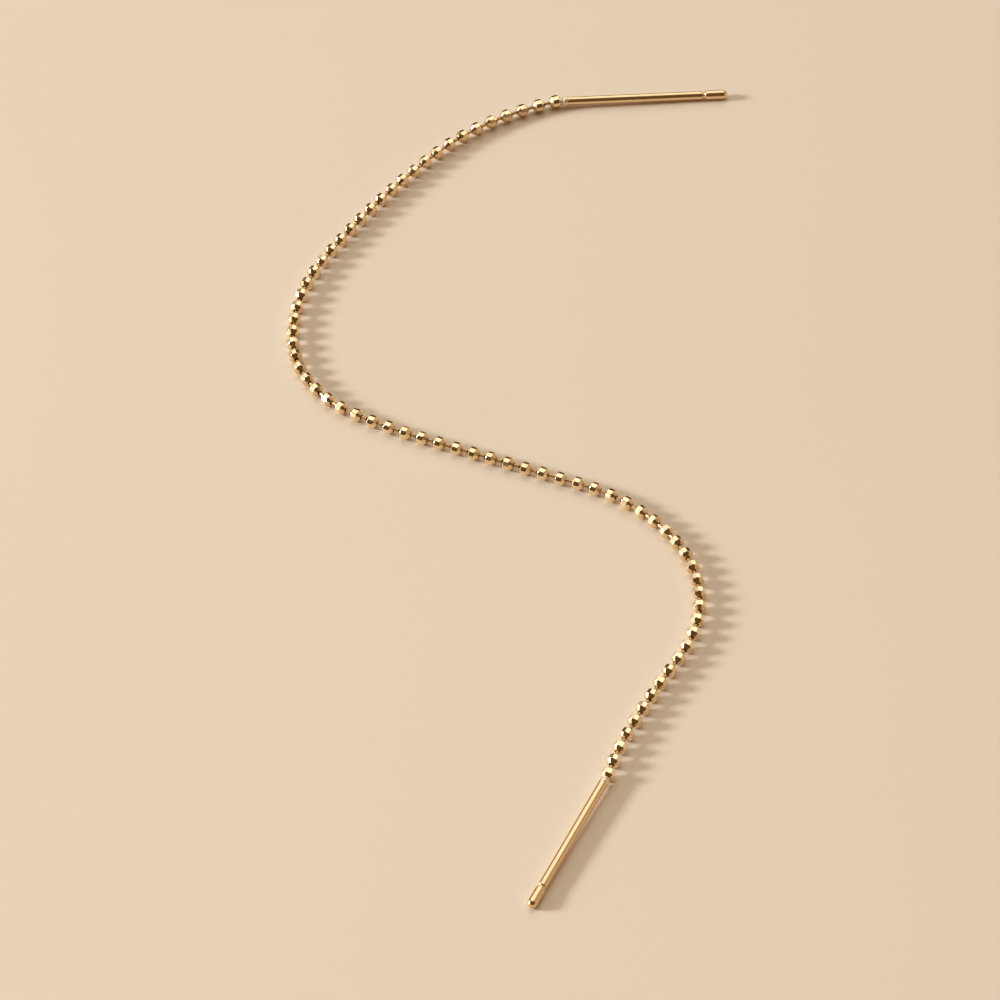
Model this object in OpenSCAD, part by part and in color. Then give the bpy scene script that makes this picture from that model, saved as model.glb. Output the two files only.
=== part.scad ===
// Threader earring: a fine chain of faceted hollow beads between two straight ear posts,
// lying loose on a table in the S that it falls into. Millimetres. +X is to the right,
// +Y away from the viewer, +Z up, and the origin is under the middle of the whole piece.

/* [Beads] */
// Width of a bead across two opposite facets of its middle row
bead_w = 1.16; // [1.1:0.02:1.5]
// Length of a bead between its two end faces
bead_len = 1.12; // [1.06:0.02:1.4]
// Length of the middle row's facets, along the edge between two of them
row_len = 0.48; // [0.4:0.02:0.54]
// Width of an end face, across its flats
end_w = 0.64; // [0.62:0.01:0.7]
// Thinnest wall of a hollow bead, behind a facet of the middle row
bead_wall = 0.08; // [0.06:0.01:0.09]
// Gap between the end faces of two neighbouring beads
bead_gap = 0.53; // [0.45:0.01:0.8]
// Roll of every bead about the chain, from lying on a facet of its middle row
bead_roll = 18; // [0:1:18]

/* [Links] */
// Thickness of the pin that joins two beads
link_d = 0.28; // [0.26:0.01:0.3]
// Clearance round the pin in a bead's hole, where the chain bends most
link_clear = 0.11; // [0.1:0.01:0.12]
// How far a pin's head reaches past the edge of the hole
head_lip = 0.03; // [0.02:0.01:0.04]
// Thickness of a pin's head
head_t = 0.08; // [0.06:0.01:0.1]
// Space between a pin's end and the middle of the bead that holds it
head_space = 0.08; // [0.07:0.01:0.1]

/* [Posts] */
// Thickness of a post's straight wire
post_d = 0.8; // [0.7:0.02:0.88]
// Length of a post from the face of its ball to the rounded tip
post_len = 15.5; // [12:0.5:30]
// Thickness of the tip where it meets the groove
tip_base_d = 0.86; // [0.8:0.02:0.88]
// Thickness of the tip at its rounded end
tip_d = 0.9; // [0.9:0.02:1.08]
// Length of the tip, from the middle of the groove to the end
tip_len = 2.2; // [1.6:0.1:4]
// Width of the groove that an ear nut clicks into
groove_w = 0.3; // [0.2:0.02:0.5]
// Depth of the groove below the wire's surface
groove_depth = 0.1; // [0.06:0.01:0.14]
// Thickness of the ball at the chain's end of a post
ball_d = 0.9; // [0.9:0.02:1.08]
// How far the ball is let into the end bead's wall
ball_sink = 0.06; // [0.02:0.01:0.1]
// Thickness of the solder neck at the end bead
neck_d = 0.7; // [0.66:0.01:0.76]
// Thickness of the solder neck at the ball
neck_end_d = 0.6; // [0.5:0.02:0.64]

/* [Hidden] */
$fn = 48;

// How the chain lies: the heading in which it leaves the upper post, and then its bends,
// each as [links in the bend, turn over the whole bend in degrees, left positive]
start_heading = -164;
bends = [[8, 32], [11, 13], [7, 32], [7, 54], [4, 7], [9, 1], [6, -31], [10, -65], [5, 5], [4, 9]];
// Headings of the two posts, each from its end bead towards its tip
upper_heading = 2;
lower_heading = -115;

// Facets in a row round a bead
facets = 10;
facet_step = 360 / facets;

gold = [0.86, 0.68, 0.38];
link_gold = [0.8, 0.6, 0.3];

pitch = bead_len + bead_gap;
cavity_r = bead_w / 2 - bead_wall;
edge_r = bead_w / 2 / cos(facet_step / 2);
// A bead rests on its lowest edge. To a side, an edge is the roll away from level
chain_z = edge_r * cos(facet_step / 2 - bead_roll);
reach = edge_r * cos(bead_roll);

// A pin leaves the hole at half the angle between two links
sharpest_turn = max([for (b = bends) abs(b[1]) / b[0]]);
hole_r = link_d / 2 + link_clear + bead_len / 2 * sin(sharpest_turn / 2);
head_r = hole_r + head_lip;

// Places along a post's axis, from the middle of its end bead
ball_x = bead_len / 2 + ball_d / 2 - ball_sink;
post_end = ball_x - ball_d / 2 + post_len;
groove_x = post_end - tip_len;
dome_x = post_end - tip_d / 2;
// The post leans down from the end bead until its tip rests on the table
post_lean = asin((chain_z - tip_d / 2) / dome_x);
// Radius of the round groove that has this width and depth
groove_r = (pow(groove_w / 2, 2) + pow(groove_depth, 2)) / (2 * groove_depth);

// Heading of each link: it turns evenly along a bend
bend_start = [for (i = 0, h = start_heading; i < len(bends); h = h + bends[i][1], i = i + 1) h];
headings = [for (i = [0 : len(bends) - 1]) for (j = [0 : bends[i][0] - 1])
    bend_start[i] + bends[i][1] * (j + 0.5) / bends[i][0]];
last = len(headings);
// Middle of each bead, from the first: one more bead than links
raw = [for (i = 0, p = [0, 0]; i <= last;
    p = i < last ? p + pitch * [cos(headings[i]), sin(headings[i])] : p, i = i + 1) p];

// Corners of the box that beads and tips fill, and so the middle that becomes the origin
upper_tip = raw[0] + dome_x * [cos(upper_heading), sin(upper_heading)];
lower_tip = raw[last] + dome_x * [cos(lower_heading), sin(lower_heading)];
function low(axis) = min(min([for (p = raw) p[axis]]) - reach,
    min(upper_tip[axis], lower_tip[axis]) - tip_d / 2);
function high(axis) = max(max([for (p = raw) p[axis]]) + reach,
    max(upper_tip[axis], lower_tip[axis]) + tip_d / 2);
middle = [low(0) + high(0), low(1) + high(1)] / 2;
place = [for (p = raw) p - middle];

// Heading of a bead: between its two links, and along its one link at an end
function bead_heading(i) =
    (headings[max(i - 1, 0)] + headings[min(i, last - 1)]) / 2;

// Puts a piece that points along +X at a place on the chain, turned and leaning down
module lay(at, heading, lean = 0) {
    translate([at[0], at[1], chain_z])
        rotate([0, lean, heading])
            children();
}

// Outline of the two outer rows of facets: a bar whose sloping sides cut opposite facets
module row_outline() {
    x = bead_len / 2;
    slope = (edge_r - end_w / 2) / (x - row_len / 2);
    peak = end_w / 2 + x * slope;
    polygon([[0, peak], [x, end_w / 2], [x, -end_w / 2],
             [0, -peak], [-x, -end_w / 2], [-x, end_w / 2]]);
}

// Solid bead along X: a middle row of facets, and an outer row each side turned by half a step
module cut_bead() {
    intersection() {
        rotate([0, 90, 0])
            rotate([0, 0, facet_step / 2])
                cylinder(r = edge_r, h = bead_len, center = true, $fn = facets);
        intersection_for (k = [0.5 : 1 : facets / 2]) {
            rotate([90 + k * facet_step, 0, 0])
                linear_extrude(height = 2 * bead_w, center = true)
                    row_outline();
        }
    }
}

// Hollow bead, with a hole through both ends for the pins
module bead() {
    difference() {
        rotate([bead_roll, 0, 0])
            cut_bead();
        rotate([0, 90, 0]) {
            sphere(r = cavity_r);
            cylinder(r = hole_r, h = 2 * bead_len, center = true);
        }
    }
}

// Pin with a flat head at each end, along X and centred between its two beads
module link() {
    half = pitch / 2 - head_space;
    wire_r = link_d / 2;
    rotate([0, 90, 0])
        rotate_extrude()
            polygon([[0, -half], [head_r, -half], [head_r, head_t - half], [wire_r, head_t - half],
                     [wire_r, half - head_t], [head_r, half - head_t], [head_r, half], [0, half]]);
}

// Round bar along Z from one place to another, which may narrow or widen on the way
module bar(d, end_d, from, to) {
    translate([0, 0, from])
        cylinder(d1 = d, d2 = end_d, h = to - from);
}

// Post along X: solder neck, ball, straight wire, groove and rounded tip
module post_wire() {
    rotate([0, 90, 0])
        difference() {
            union() {
                bar(neck_d, neck_end_d, cavity_r, ball_x);
                translate([0, 0, ball_x])
                    sphere(d = ball_d);
                bar(post_d, post_d, ball_x, groove_x);
                bar(tip_base_d, tip_d, groove_x, dome_x);
                translate([0, 0, dome_x])
                    sphere(d = tip_d);
            }
            translate([0, 0, groove_x])
                rotate_extrude()
                    translate([post_d / 2 + groove_r - groove_depth, 0])
                        circle(r = groove_r);
        }
}

// Ear post soldered to the bead at its end of the chain
module ear_post(end, heading) {
    lay(place[end], bead_heading(end))
        bead();
    lay(place[end], heading, post_lean)
        post_wire();
}

module upper_post() {
    color(gold)
        ear_post(0, upper_heading);
}

module lower_post() {
    color(gold)
        ear_post(last, lower_heading);
}

// Every bead between the two that are soldered to the posts
module beads() {
    color(gold)
        for (i = [1 : last - 1]) {
            lay(place[i], bead_heading(i))
                bead();
        }
}

// One pin from each bead to the next
module links() {
    color(link_gold)
        for (i = [0 : last - 1]) {
            lay((place[i] + place[i + 1]) / 2, headings[i])
                link();
        }
}

upper_post();
beads();
links();
lower_post();
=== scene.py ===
import bpy
import numpy as np
from mathutils import Matrix, Vector


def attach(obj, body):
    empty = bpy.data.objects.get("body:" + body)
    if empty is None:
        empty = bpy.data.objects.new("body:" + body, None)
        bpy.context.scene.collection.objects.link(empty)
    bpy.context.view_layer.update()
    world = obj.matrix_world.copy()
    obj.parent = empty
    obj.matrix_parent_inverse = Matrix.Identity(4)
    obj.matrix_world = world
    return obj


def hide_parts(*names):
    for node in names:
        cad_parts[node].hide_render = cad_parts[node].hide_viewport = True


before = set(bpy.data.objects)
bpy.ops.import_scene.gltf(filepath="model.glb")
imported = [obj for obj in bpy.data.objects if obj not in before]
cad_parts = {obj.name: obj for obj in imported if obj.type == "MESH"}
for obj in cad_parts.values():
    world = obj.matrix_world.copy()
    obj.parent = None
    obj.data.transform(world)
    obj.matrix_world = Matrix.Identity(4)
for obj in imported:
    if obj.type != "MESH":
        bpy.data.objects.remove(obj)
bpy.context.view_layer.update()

mm = 0.001
bead_w = 1.16 * mm
bead_len = 1.12 * mm
bead_gap = 0.53 * mm
bead_roll = 18.0
facets = 10
half_step = np.radians(180 / facets)
pitch = bead_len + bead_gap
edge_r = bead_w / 2 / np.cos(half_step)
chain_z = edge_r * np.cos(half_step - np.radians(bead_roll))
reach = edge_r * np.cos(np.radians(bead_roll))
start_heading = -164
# [links in the bend, turn over the whole bend in degrees, left positive]
bends = [[8, 32], [11, 13], [7, 32], [7, 54], [4, 7], [9, 1], [6, -31], [10, -65], [5, 5], [4, 9]]
upper_heading = 2
lower_heading = -115
tip_d = 0.9 * mm
# Middle of an end bead to the middle of its post's rounded end
dome_x = 15.55 * mm

bend_starts = start_heading + np.cumsum([0] + [turn for _, turn in bends[:-1]])
link_headings = np.concatenate([
    first + turn * (np.arange(links) + 0.5) / links
    for first, (links, turn) in zip(bend_starts, bends)])


def level(degrees):
    """The level direction that has this heading: its cosine and sine."""
    return np.stack([np.cos(np.radians(degrees)), np.sin(np.radians(degrees))], axis=-1)


laid = np.concatenate([np.zeros((1, 2)), pitch * np.cumsum(level(link_headings), axis=0)])
tips = np.stack([laid[0] + dome_x * level(upper_heading), laid[-1] + dome_x * level(lower_heading)])
lowest = np.minimum(laid.min(0) - reach, tips.min(0) - tip_d / 2)
highest = np.maximum(laid.max(0) + reach, tips.max(0) + tip_d / 2)
places = np.column_stack([laid - (lowest + highest) / 2, np.full(len(laid), chain_z)])
padded = np.concatenate([link_headings[:1], link_headings, link_headings[-1:]])
bead_headings = (padded[:-1] + padded[1:]) / 2


def turned(heading, lean=0.0, roll=0.0):
    """Rotations, one for each angle given in degrees: a roll about X, then a lean that lowers +X,
    then a turn about Z to the heading."""
    h, p, r = np.radians(np.broadcast_arrays(heading, lean, roll))
    zero, one = np.zeros_like(h), np.ones_like(h)
    about_z = np.array([[np.cos(h), -np.sin(h), zero], [np.sin(h), np.cos(h), zero], [zero, zero, one]])
    about_y = np.array([[np.cos(p), zero, np.sin(p)], [zero, one, zero], [-np.sin(p), zero, np.cos(p)]])
    about_x = np.array([[one, zero, zero], [zero, np.cos(r), -np.sin(r)], [zero, np.sin(r), np.cos(r)]])
    return np.einsum("ij...,jk...,kl...->...il", about_z, about_y, about_x)


# Beads. Each is a hollow ball of gold-plated brass, drilled through and bright-cut with a diamond
# tool: a middle row of ten facets, a row each side turned by half a step, and two flat ends.
seed = np.random.default_rng(11)
shell_w = 1.14 * mm
row_len = 0.48 * mm
end_w = 0.56 * mm
hole_r = 0.2 * mm
cavity_r = 0.47 * mm
width_spread = 0.02
cut_spread = 0.05
roll_spread = 5.0
swing_spread = 4.0
edge_round = 0.055 * mm
# Edges that turn by more than this many degrees are rounded
rounded_above = 20.0
shell_corners = 2 * facets
bowl_rings = 7


def ring_faces(rings, around, closed):
    """Quads of a grid of rings that runs from high to low x, outer side out. Closed joins the last
    ring to the first, and otherwise each end ring is capped by one flat face."""
    j = np.arange(rings if closed else rings - 1)[:, None]
    k = np.arange(around)[None, :]
    up, on = (j + 1) % rings, (k + 1) % around
    quads = np.stack([j * around + k, up * around + k, up * around + on, j * around + on], axis=-1)
    faces = quads.reshape(-1, 4).tolist()
    if not closed:
        faces.append(list(range(around)))
        faces.append(list(range(rings * around - 1, (rings - 1) * around - 1, -1)))
    return faces


def bead_rings(width, row, end):
    """Rings of one or more drilled faceted shells along X, as an array [bead, ring, corner, xyz].
    Corners lie at equal steps from +Z. Even ones point at the middle of a middle facet, odd ones
    at the edge between two, so every facet is two flat quads. The outer ring of a side lies where
    the sloping cuts meet the middle row; the inside is a ball that opens into the hole."""
    width, row, end = (np.atleast_1d(v)[:, None] for v in (width, row, end))
    angle = np.pi / 2 + np.arange(shell_corners) * half_step
    even = np.arange(shell_corners) % 2 == 0
    flat = width / 2
    edge = flat / np.cos(half_step)
    slope = (edge - end / 2) / (bead_len / 2 - row / 2)
    facet_x = bead_len / 2 - (flat * np.cos(half_step) - end / 2) / slope
    rim_r = np.where(even, end / 2 / np.cos(half_step), end / 2)
    row_x = np.where(even, facet_x, row / 2)
    row_r = np.where(even, flat, edge)
    bowl = np.arccos(hole_r / cavity_r)
    inside = [(cavity_r * np.sin(t), cavity_r * np.cos(t)) for t in np.linspace(-bowl, bowl, bowl_rings)]
    half = [(bead_len / 2, hole_r), (bead_len / 2, rim_r), (row_x, row_r)]
    rings = half + [(-x, r) for x, r in reversed(half)] + inside
    shape = (len(width), shell_corners)
    x, r = (np.stack([np.broadcast_to(v, shape) for v in part], axis=1) for part in zip(*rings))
    return np.stack([x, r * np.cos(angle), r * np.sin(angle)], axis=-1)


def piece(name, points, faces, copies):
    """Object at the origin whose mesh is the points of all copies of one shape, faces smooth."""
    count = len(points) // copies
    steps = np.arange(copies) * count
    mesh = bpy.data.meshes.new(name)
    mesh.from_pydata(points.tolist(), [], [[v + s for v in face] for s in steps for face in faces])
    mesh.polygons.foreach_set("use_smooth", np.ones(len(mesh.polygons), bool))
    made = bpy.data.objects.new(name, mesh)
    bpy.context.scene.collection.objects.link(made)
    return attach(made, "root")


def mark(made, name, values):
    """Stores one number for each vertex under this name, for the material to read."""
    made.data.attributes.new(name, "FLOAT", "POINT").data.foreach_set("value", np.ravel(values))


def soften(made, width):
    """Rounds every cut edge by a hair, with the facets themselves kept flat."""
    bevel = made.modifiers.new("polished_edges", "BEVEL")
    bevel.width = width
    bevel.segments = 2
    bevel.limit_method = "ANGLE"
    bevel.angle_limit = np.radians(rounded_above)
    bevel.harden_normals = True


class Wire:
    """A node's output in a material or the studio. Arithmetic on it adds Math nodes, and node()
    adds any other node: first its settings, then the values or links of its sockets."""

    def __init__(self, tree, socket=None):
        self.tree = tree
        self.socket = socket

    def node(self, kind, settings, sockets, out=0):
        made = self.tree.nodes.new(kind)
        for name, value in settings.items():
            setattr(made, name, value)
        for name, value in sockets.items():
            if isinstance(value, Wire):
                self.tree.links.new(value.socket, made.inputs[name])
            else:
                made.inputs[name].default_value = value
        return Wire(self.tree, made.outputs[out]) if made.outputs else made

    def maths(self, operation, *values):
        return self.node("ShaderNodeMath", {"operation": operation}, dict(enumerate(values)))

    def __add__(self, other):
        return self.maths("ADD", self, other)

    def __mul__(self, other):
        return self.maths("MULTIPLY", self, other)

    __radd__ = __add__
    __rmul__ = __mul__


def finish_of(name):
    """An empty material, with a Wire that adds its nodes."""
    material = bpy.data.materials.new(name)
    material.use_nodes = True
    material.node_tree.nodes.clear()
    return material, Wire(material.node_tree)


def blend_colours(wire, share, first, second):
    """Mix of two colours by a share that varies over the surface."""
    return wire.node("ShaderNodeMix", {"data_type": "RGBA"}, {0: share, 6: first, 7: second}, out=2)


def polished(wire, base, roughness, bump, depth):
    """Closes a material as bare polished metal."""
    normal = wire.node("ShaderNodeBump", {}, {"Height": bump, "Distance": depth, "Strength": 1.0})
    shader = wire.node("ShaderNodeBsdfPrincipled", {}, {
        "Base Color": base, "Metallic": 1.0, "Roughness": roughness, "Normal": normal})
    wire.node("ShaderNodeOutputMaterial", {}, {"Surface": shader})


pale_gold = (0.98, 0.81, 0.55, 1)
deep_gold = (0.92, 0.69, 0.41, 1)
dull_shaded_gold = (0.5, 0.32, 0.14, 1)


def bead_gold():
    """Bright-cut gold plating: each bead's tone differs a little, the ends and the hole are duller,
    with painted shade darkening them where beads face each other and inside the hole, and the cuts
    keep the fine ripple of the tool."""
    material, wire = finish_of("bright_cut_gold")
    where = wire.node("ShaderNodeTexCoord", {}, {}, out=3)
    tone = wire.node("ShaderNodeAttribute", {"attribute_name": "tone"}, {}, out=2)
    dull_ends_and_painted_shade = wire.node("ShaderNodeAttribute", {"attribute_name": "dull_ends_and_painted_shade"}, {}, out=2)
    cloud = wire.node("ShaderNodeTexNoise", {}, {"Vector": where, "Scale": 1.5 / mm, "Detail": 3.0})
    ripple = wire.node("ShaderNodeTexNoise", {}, {"Vector": where, "Scale": 9 / mm, "Detail": 2.0})
    gold = blend_colours(wire, tone * 0.6 + cloud * 0.3, pale_gold, deep_gold)
    # Painted shade: the end faces and the hole are mixed toward a much darker gold
    base = blend_colours(wire, dull_ends_and_painted_shade * 0.75, gold, dull_shaded_gold)
    roughness = cloud * 0.08 + dull_ends_and_painted_shade * 0.18 + 0.03
    polished(wire, base, roughness, ripple, 0.0012 * mm)
    return material


bead_finish = bead_gold()
# How dull each ring of a shell is, with painted shade darkening the end faces and the hole: from one end
# face over the cuts to the other, then the inside
dull_and_shaded_share = np.array([1.0, 0.5, 0, 0, 0.5, 1.0] + [1.0] * bowl_rings)
shell_faces = ring_faces(len(dull_and_shaded_share), shell_corners, closed=True)


def dress_bead(made, copies, tones):
    """Gives the shells of a piece their tones, their dull ends darkened by painted shade, and their
    finish.
    """
    per_bead = len(dull_and_shaded_share) * shell_corners
    mark(made, "tone", np.repeat(tones, per_bead))
    mark(made, "dull_ends_and_painted_shade", np.tile(np.repeat(dull_and_shaded_share, shell_corners), copies))
    made.data.materials.append(bead_finish)
    soften(made, edge_round)


count = len(places) - 2
rings = bead_rings(
    shell_w * (1 - width_spread * seed.uniform(0, 1, count)),
    row_len * (1 + cut_spread * seed.uniform(-1, 1, count)),
    end_w * (1 + cut_spread * seed.uniform(-1, 1, count)))
rolls = bead_roll + roll_spread * seed.uniform(-1, 1, count)
swings = swing_spread * seed.uniform(-1, 1, (2, count))
turns = turned(bead_headings[1:-1] + swings[0], swings[1], rolls)
shells = np.einsum("nij,nrcj->nrci", turns, rings)
# A bead rests on the lowest corner that its roll gives it
shells[..., 2] -= shells[..., 2].min(axis=(1, 2))[:, None, None]
shells[..., :2] += places[1:-1, None, None, :2]
chain_beads = piece("chain_beads", shells.reshape(-1, 3), shell_faces, count)
dress_bead(chain_beads, count, seed.uniform(0, 1, count))
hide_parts("beads")

# Links. Each is a short pin of drawn brass wire, thinly plated, that joins two beads: its upset
# head at either end is caught inside a bead, and the wire shows only in the gap.
link_d = 0.3 * mm
head_r = 0.31 * mm
head_t = 0.08 * mm
head_space = 0.08 * mm
head_round = 0.02 * mm
wire_ring_x = 0.2 * mm
link_sides = 12
# Painted shade: the pins' golds are darkened, as the pins lie in the shaded gaps between beads
shaded_pin_gold = (0.62, 0.42, 0.2, 1)
darker_shaded_pin_gold = (0.5, 0.31, 0.13, 1)


def lathe(profile, around):
    """Surface of revolution about X: the profile's places (x, r) carried round in equal steps."""
    angle = np.arange(around) * 2 * np.pi / around
    x, r = np.array(profile).T[:, :, None]
    return np.stack([x + 0 * angle, r * np.cos(angle), r * np.sin(angle)], axis=-1)


half_link = pitch / 2 - head_space
wire_r = link_d / 2
half_profile = [(half_link, head_r - head_round), (half_link - head_round, head_r),
                (half_link - head_t, head_r), (half_link - head_t - head_round, wire_r + head_round),
                (half_link - head_t - 2 * head_round, wire_r), (wire_ring_x, wire_r)]
link_profile = half_profile + [(-x, r) for x, r in reversed(half_profile)]
one_link = lathe(link_profile, link_sides).reshape(-1, 3)
link_faces = ring_faces(len(link_profile), link_sides, closed=False)
between = (places[1:] + places[:-1]) / 2
pins = np.einsum("nij,vj->nvi", turned(link_headings), one_link) + between[:, None, :]
chain_links = piece("chain_links", pins.reshape(-1, 3), link_faces, len(between))


def link_gold_with_painted_shade():
    """Thin plating on drawn wire, redder and less polished than the beads, and darkened with painted
    shade, as the pins lie in the gaps between beads.
    """
    material, wire = finish_of("drawn_wire_gold_painted_shade")
    where = wire.node("ShaderNodeTexCoord", {}, {}, out=3)
    cloud = wire.node("ShaderNodeTexNoise", {}, {"Vector": where, "Scale": 3 / mm, "Detail": 3.0})
    scratch = wire.node("ShaderNodeTexNoise", {}, {"Vector": where, "Scale": 14 / mm, "Detail": 2.0})
    base = blend_colours(wire, cloud, shaded_pin_gold, darker_shaded_pin_gold)
    polished(wire, base, cloud * 0.15 + 0.13, scratch, 0.001 * mm)
    return material


chain_links.data.materials.append(link_gold_with_painted_shade())
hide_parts("links")

# Posts. Each is a straight plated ear wire with a small ball at the chain's end, which is soldered
# to the end bead; a groove near the rounded tip holds the ear nut. Post and end bead are one piece.
post_d = 0.8 * mm
ball_d = 0.9 * mm
ball_x = 0.95 * mm
neck_r = 0.3 * mm
tip_base_d = 0.86 * mm
groove_x = 13.8 * mm
groove_w = 0.3 * mm
groove_depth = 0.1 * mm
lip_round = 0.03 * mm
wire_start = 1.3 * mm
wire_end = 13.2 * mm
post_sides = 64
end_bead_tone = 0.3
# Where the ball's outline, measured from +X in degrees, runs into the solder's fillet
fillet_angle = 128
# The fillet's rings, as [distance from the bead's middle, how far it swells past the neck]
fillet_rings = [[0.6 * mm, 0.01 * mm], [0.56 * mm, 0.03 * mm], [0.5 * mm, 0.03 * mm]]
# How far the solder's dull, pale skin runs onto the wire past the ball's middle; its paleness is partly
# a painted highlight on the joint
solder_reach = 0.35 * mm
pale_solder_and_highlight = (1.0, 0.87, 0.66, 1)
wire_gold = (0.92, 0.7, 0.42, 1)
worn_wire_gold = (0.83, 0.58, 0.31, 1)
post_lean = np.degrees(np.arcsin((chain_z - tip_d / 2) / dome_x))


def arc(middle, radius, first, last, steps):
    """Places (x, r) on a circle, from one angle to another in degrees, 0 along +X."""
    a = np.radians(np.linspace(first, last, steps))
    return [(middle[0] + radius * np.cos(t), middle[1] + radius * np.sin(t)) for t in a]


def post_profile():
    """Profile of the post from its tip back to the solder: dome, tip, groove with rounded lips,
    straight wire, ball, and the solder's hollow fillet up to the end bead."""
    dome = arc((dome_x, 0), tip_d / 2, 3, 90, 14)
    groove_r = groove_w ** 2 / 8 / groove_depth + groove_depth / 2
    groove_middle = post_d / 2 - groove_depth + groove_r
    half = np.degrees(np.arcsin(groove_w / 2 / groove_r))
    groove = arc((groove_x, groove_middle), groove_r, half - 90, -half - 90, 11)
    tip_lip = [(groove_x + groove_w / 2 + lip_round, tip_base_d / 2)]
    wire_lip = [(groove_x - groove_w / 2 - lip_round, post_d / 2)]
    wire_meets = np.degrees(np.arcsin(post_d / ball_d))
    straight = [(x, post_d / 2) for x in np.linspace(wire_end, wire_start, 16)]
    ball = arc((ball_x, 0), ball_d / 2, wire_meets, fillet_angle, 12)
    fillet = [(x, neck_r + swell) for x, swell in fillet_rings]
    return dome + tip_lip + groove + wire_lip + straight + ball + fillet


def post_gold():
    """Smooth plating over drawn wire: faint lines run along it, and the gloss is a little uneven
    where it has been handled."""
    material, wire = finish_of("polished_post_gold")
    where = wire.node("ShaderNodeTexCoord", {}, {}, out=3)
    along = wire.node("ShaderNodeUVMap", {"uv_map": "length_and_turn"}, {})
    drawn = wire.node("ShaderNodeMapping", {}, {"Vector": along, "Scale": (3.0, 40.0, 1.0)})
    lines = wire.node("ShaderNodeTexNoise", {}, {"Vector": drawn, "Scale": 1.0, "Detail": 3.0})
    cloud = wire.node("ShaderNodeTexNoise", {}, {"Vector": where, "Scale": 0.8 / mm, "Detail": 4.0})
    solder = wire.node("ShaderNodeAttribute", {"attribute_name": "solder"}, {}, out=2)
    gold = blend_colours(wire, cloud * 0.6, wire_gold, worn_wire_gold)
    # Pale solder, whose paleness is also a painted highlight on the joint at the bead
    base = blend_colours(wire, solder, gold, pale_solder_and_highlight)
    polished(wire, base, cloud * 0.07 + lines * 0.05 + solder * 0.25 + 0.16, lines, 0.0015 * mm)
    return material


post_finish = post_gold()


def unroll(made, profile, faces, wire_faces):
    """Lays the wire out as a UV map: the length along it in mm, and the part of a turn."""
    corners = np.empty(len(made.data.loops), np.int32)
    made.data.loops.foreach_get("vertex_index", corners)
    wound = np.minimum(corners, len(profile) * post_sides - 1)
    length = np.array(profile)[wound // post_sides, 0] / mm
    turn = (wound % post_sides) / post_sides
    # The last face of a ring ends at a whole turn, not back at none
    faces_of = np.repeat(np.arange(len(faces)), [len(f) for f in faces])
    last = (faces_of < wire_faces - 2) & (faces_of % post_sides == post_sides - 1)
    turn = np.where(last & (turn == 0), 1.0, turn)
    layer = made.data.uv_layers.new(name="length_and_turn")
    layer.data.foreach_set("uv", np.column_stack([length, turn]).ravel())


def ear_post(name, node, end, heading):
    """One post with its end bead, laid from the bead's place along its heading."""
    profile = post_profile()
    wire_points = lathe(profile, post_sides).reshape(-1, 3) @ turned(heading, post_lean).T
    bead_points = (bead_rings(shell_w, row_len, end_w)[0].reshape(-1, 3)
                   @ turned(bead_headings[end], roll=bead_roll).T)
    faces = ring_faces(len(profile), post_sides, closed=False)
    start = len(wire_points)
    faces += [[v + start for v in face] for face in shell_faces]
    made = piece(name, np.concatenate([wire_points, bead_points]) + places[end], faces, 1)
    mark(made, "tone", np.full(start + len(bead_points), end_bead_tone))
    # The end bead's ends and hole get the same painted shade
    dull_ends_and_painted_shade = np.repeat(dull_and_shaded_share, shell_corners)
    mark(made, "dull_ends_and_painted_shade", np.concatenate([np.zeros(start), dull_ends_and_painted_shade]))
    along = np.repeat(np.array(profile)[:, 0], post_sides)
    # The solder mark is real solder and also a painted highlight on the joint
    solder = np.clip((ball_x + solder_reach - along) / solder_reach, 0, 1)
    mark(made, "solder", np.concatenate([solder, np.zeros(len(bead_points))]))
    made.data.materials.append(post_finish)
    made.data.materials.append(bead_finish)
    wire_faces = len(faces) - len(shell_faces)
    slots = np.arange(len(faces)) >= wire_faces
    made.data.polygons.foreach_set("material_index", slots.astype(np.int32))
    unroll(made, profile, faces, wire_faces)
    soften(made, edge_round)
    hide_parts(node)


ear_post("post_above", "upper_post", 0, upper_heading)
ear_post("post_below", "lower_post", -1, lower_heading)

# Table. A flat, pale, lightly glossed surface: it lies just under the beads, and mirrors the lowest
# part of the metal softly.
table_half = 3.0
table_gap = 0.004 * mm
warm_paint = (0.83, 0.67, 0.5, 1)
light_paint = (0.86, 0.695, 0.52, 1)


def table_paint():
    """Pale warm paint with a faint unevenness of tone and gloss."""
    material, wire = finish_of("pale_table_paint")
    where = wire.node("ShaderNodeTexCoord", {}, {}, out=3)
    broad = wire.node("ShaderNodeTexNoise", {}, {"Vector": where, "Scale": 12.0, "Detail": 2.0})
    grain = wire.node("ShaderNodeTexNoise", {}, {"Vector": where, "Scale": 2600.0, "Detail": 3.0})
    base = blend_colours(wire, broad, warm_paint, light_paint)
    normal = wire.node("ShaderNodeBump", {}, {"Height": grain, "Distance": 0.002 * mm, "Strength": 1.0})
    shader = wire.node("ShaderNodeBsdfPrincipled", {}, {
        "Base Color": base, "Roughness": grain * 0.06 + 0.45, "IOR": 1.5, "Normal": normal})
    wire.node("ShaderNodeOutputMaterial", {}, {"Surface": shader})
    return material


table_mesh = bpy.data.meshes.new("table")
table_mesh.from_pydata(
    [(x * table_half, y * table_half, -table_gap) for x, y in ((-1, -1), (1, -1), (1, 1), (-1, 1))],
    [], [(0, 1, 2, 3)])
table_mesh.materials.append(table_paint())
table = bpy.data.objects.new("table", table_mesh)
bpy.context.scene.collection.objects.link(table)

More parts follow.
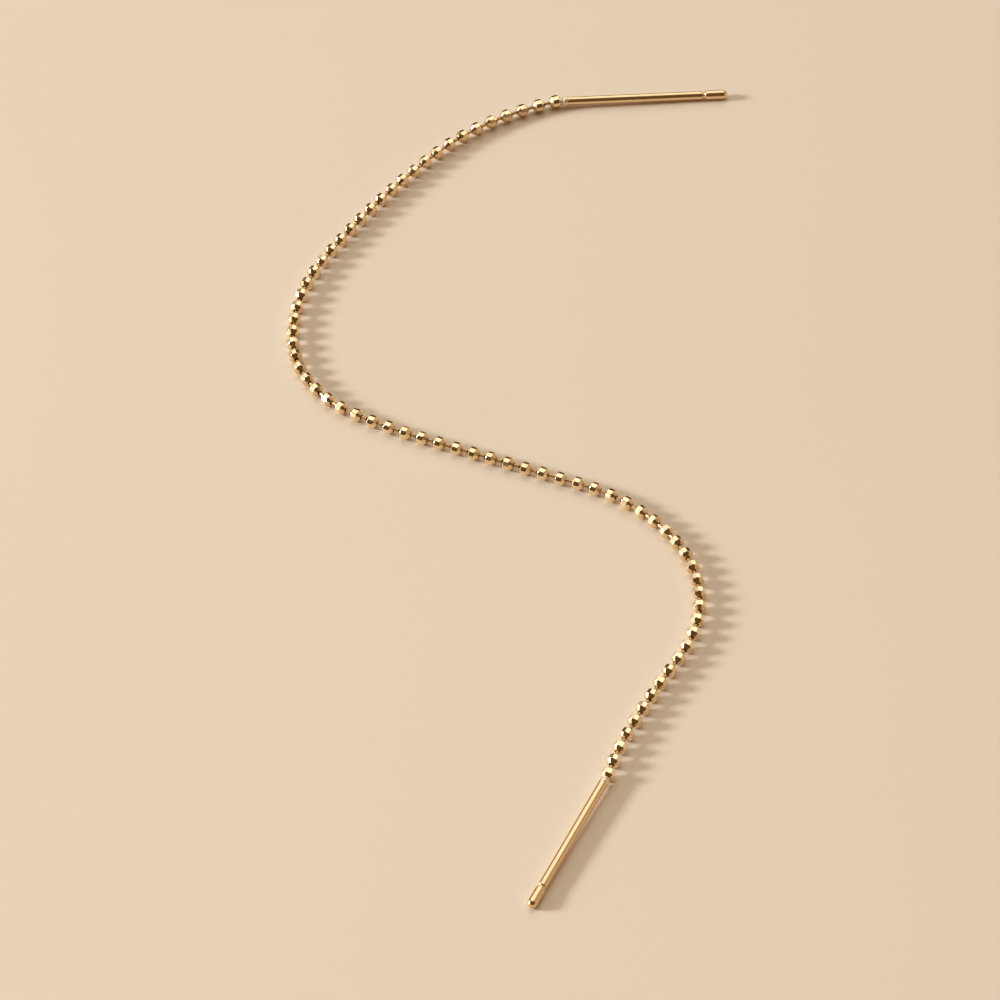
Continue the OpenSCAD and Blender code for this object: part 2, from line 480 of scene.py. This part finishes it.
# Studio light. A lamp stands low on the left and throws the shadows. Round the table stand soft
# panels: a high one behind, one on the far left, and brown cloth on the right. The rest is dark.
key_azimuth = 88
key_elevation = 20.5
key_distance = 1.1
key_width, key_height = 0.28, 0.15
key_radiance = 98
key_colour = (0.88, 1.0, 1.12)
dark_room = (0.12, 0.068, 0.028, 1)
panel_blur = 5
# [left edge, right edge, first edge, last edge, colour]. The first two are angles from the middle
# plane, right positive. The others run from the horizon behind, 0, overhead to the one in front, 180.
panels = [
    [-30, 34, 26, 92, (1.33, 1.27, 1.15, 1)],
    [-95, -53, -5, 178, (1.26, 1.19, 1.06, 1)],
    [46, 95, -5, 178, (0.6, 0.42, 0.27, 1)]]

lamp = bpy.data.lights.new("key_lamp", "AREA")
lamp.shape = "RECTANGLE"
lamp.size, lamp.size_y = key_width, key_height
lamp.energy = key_radiance * np.pi * key_width * key_height
lamp.color = key_colour
key = bpy.data.objects.new("key_lamp", lamp)
a, e = np.radians([key_azimuth, key_elevation])
towards_key = Vector((-np.sin(a) * np.cos(e), np.cos(a) * np.cos(e), np.sin(e)))
key.matrix_world = (
    Matrix.Translation(towards_key * key_distance)
    @ towards_key.to_track_quat("Z", "Y").to_matrix().to_4x4())
key.visible_camera = False
bpy.context.scene.collection.objects.link(key)


def between_angles(room, angle, low, high):
    """1 between two angles in degrees and 0 outside them, with soft edges."""
    enter = room.node("ShaderNodeMapRange", {"interpolation_type": "SMOOTHSTEP"}, {
        "Value": angle, "From Min": low - panel_blur, "From Max": low + panel_blur})
    leave = room.node("ShaderNodeMapRange", {"interpolation_type": "SMOOTHSTEP"}, {
        "Value": angle, "From Min": high - panel_blur, "From Max": high + panel_blur,
        "To Min": 1.0, "To Max": 0.0})
    return enter * leave


world = bpy.data.worlds.new("studio")
world.use_nodes = True
world.node_tree.nodes.clear()
room = Wire(world.node_tree)
towards = room.node("ShaderNodeTexCoord", {}, {})
split = room.node("ShaderNodeSeparateXYZ", {}, {"Vector": towards})
x, y, z = (Wire(room.tree, socket) for socket in split.socket.node.outputs)
sideways = room.maths("ARCSINE", x) * np.degrees(1)
overhead = room.maths("ARCTAN2", z, y) * np.degrees(1)
light = room.node("ShaderNodeRGB", {}, {})
light.socket.default_value = dark_room
for left, right, first, last, colour in panels:
    share = between_angles(room, sideways, left, right) * between_angles(room, overhead, first, last)
    light = blend_colours(room, share, light, colour)
room_shader = room.node("ShaderNodeBackground", {}, {"Color": light, "Strength": 1.0})
room.node("ShaderNodeOutputWorld", {}, {"Surface": room_shader})
bpy.context.scene.world = world

# Camera. It looks down at the table from in front, through a long lens.
view_elevation = 43.0
view_distance = 541.4 * mm
view_roll = 1.66
view_aim = Vector((-1.81 * mm, -3.38 * mm, chain_z))
frame_pixels = 1000
focal_pixels = 6270

lens = bpy.data.cameras.new("camera")
lens.sensor_width = 36
lens.lens = focal_pixels * lens.sensor_width / frame_pixels
lens.clip_start = 0.01
lens.clip_end = 20
camera = bpy.data.objects.new("camera", lens)
tilt = Matrix.Rotation(np.radians(90 - view_elevation), 4, "X")
camera.matrix_world = (
    Matrix.Translation(view_aim) @ tilt @ Matrix.Rotation(np.radians(-view_roll), 4, "Z")
    @ Matrix.Translation((0, 0, view_distance)))
bpy.context.scene.collection.objects.link(camera)
bpy.context.scene.camera = camera
bpy.context.scene.view_settings.view_transform = "Standard"
